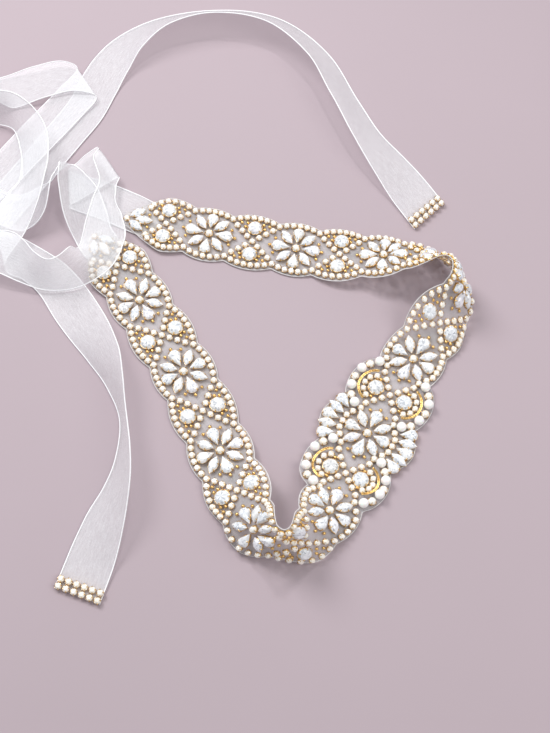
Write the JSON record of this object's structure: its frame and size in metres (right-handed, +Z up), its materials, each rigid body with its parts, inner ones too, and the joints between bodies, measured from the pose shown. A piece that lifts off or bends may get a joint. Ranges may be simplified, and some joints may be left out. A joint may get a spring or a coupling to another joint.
{
  "type": "bridal sash",
  "caption": "bridal sash laid on a table: a scalloped band of crystal flowers and pearls on a sheer backing, bent into an open loop, with a sheer ribbon tail at each end for tying",
  "frame": {"origin": "under the middle of the laid-out sash's outline, on the surface it rests on", "axes": "+Z up from the table; +Y across the picture's depth, the longest way of the outline; +X toward the side where the band folds back"},
  "size_m": [0.306, 0.3864, 0.0354],
  "materials": {
    "backing": "sheer white net with a pale cut edge",
    "organza": "sheer white organza with a woven selvedge",
    "crystal": "clear cut stones, foiled, in gold cups",
    "pearl": "ivory pearl lustre, with clear stones between",
    "gold": "polished gold tone"
  },
  "bodies": {
    "root": {"backing_top_run": "backing", "backing_right_bend": "backing", "backing_centre_run": "backing", "backing_lower_bend": "backing", "backing_left_run": "backing", "flower_01": "crystal", "flower_02": "crystal", "flower_03": "crystal", "flower_04": "crystal", "flower_05": "crystal", "flower_06": "crystal", "flower_07": "crystal", "flower_08": "crystal", "flower_09": "crystal", "flower_10": "crystal", "flower_11": "crystal", "knot_01": "crystal", "knot_02": "crystal", "knot_03": "crystal", "knot_04": "crystal", "knot_05": "crystal", "knot_06": "crystal", "pearls_06_left": "pearl", "gold_arc_06_left": "gold", "pearls_06_right": "pearl", "gold_arc_06_right": "gold", "knot_07": "crystal", "pearls_07_left": "pearl", "gold_arc_07_left": "gold", "pearls_07_right": "pearl", "gold_arc_07_right": "gold", "knot_08": "crystal", "knot_09": "crystal", "knot_10": "crystal", "knot_11": "crystal", "knot_12": "crystal", "centre_fan_left": "crystal", "centre_fan_right": "crystal", "leaf_upper": "crystal", "leaf_left": "crystal", "ribbon_upper_under_tip": "organza", "ribbon_upper_fold": "organza", "ribbon_upper_over_tip": "organza", "ribbon_upper_turn": "organza", "ribbon_upper_floor_run": "organza", "ribbon_upper_arc": "organza", "ribbon_upper_end_run": "organza", "trim_upper": "crystal", "ribbon_left_under_tip": "organza", "ribbon_left_pinch": "organza", "ribbon_left_diagonal": "organza", "ribbon_left_return": "organza", "ribbon_left_loop": "organza", "ribbon_left_slope": "organza", "ribbon_left_end_run": "organza", "trim_left": "crystal"}
  },
  "joints": []
}
